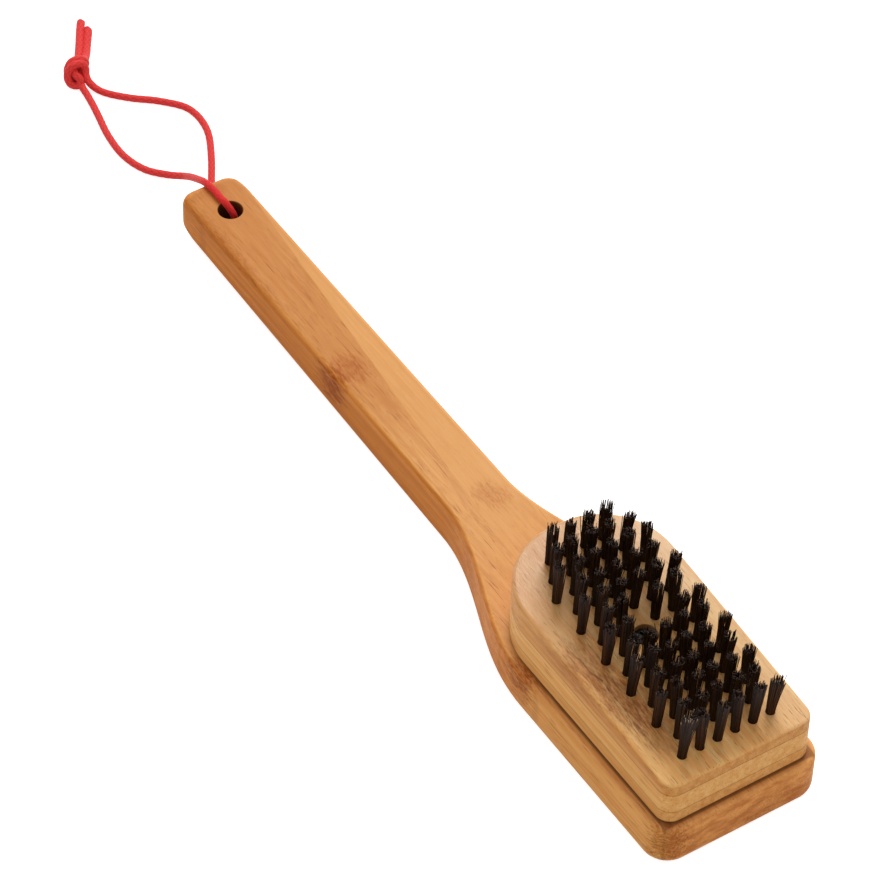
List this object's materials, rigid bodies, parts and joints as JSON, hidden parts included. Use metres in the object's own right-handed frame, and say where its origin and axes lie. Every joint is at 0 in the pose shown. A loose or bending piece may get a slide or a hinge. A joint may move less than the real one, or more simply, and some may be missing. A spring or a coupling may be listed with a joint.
{
  "type": "grill brush",
  "caption": "Wooden paddle brush with a sloped block of dark bristle tufts held by one screw, a slim handle with a hanging hole and a knotted cord loop.",
  "frame": {"origin": "middle of the paddle's length and width, on the flat back of the head", "axes": "+X from the handle towards the head's end, +Y across the paddle, +Z the way the bristles point"},
  "size_m": [0.4048, 0.0594, 0.0565],
  "materials": {
    "board_wood": "oiled bamboo, satin",
    "block_wood": "oiled bamboo in three plies, satin",
    "screw_steel": "black coated steel",
    "anchor_wire": "plain flat wire",
    "bristle": "stiff dark filament, slightly glossy",
    "cord": "braided red cord"
  },
  "bodies": {
    "root": {"handle_board": "board_wood", "brush_block": "block_wood", "head_screw": "screw_steel", "tuft_anchors": "anchor_wire", "tuft_row_01": "bristle", "tuft_row_02": "bristle", "tuft_row_03": "bristle", "tuft_row_04": "bristle", "tuft_row_05": "bristle", "tuft_row_06": "bristle", "tuft_row_07": "bristle", "tuft_row_08": "bristle", "tuft_row_09": "bristle", "tuft_row_10": "bristle", "tuft_row_11": "bristle", "tuft_row_12": "bristle", "tuft_row_13": "bristle", "hang_cord": "cord", "cord_knot": "cord", "cord_tail_long": "cord", "cord_tail_short": "cord"}
  },
  "joints": []
}
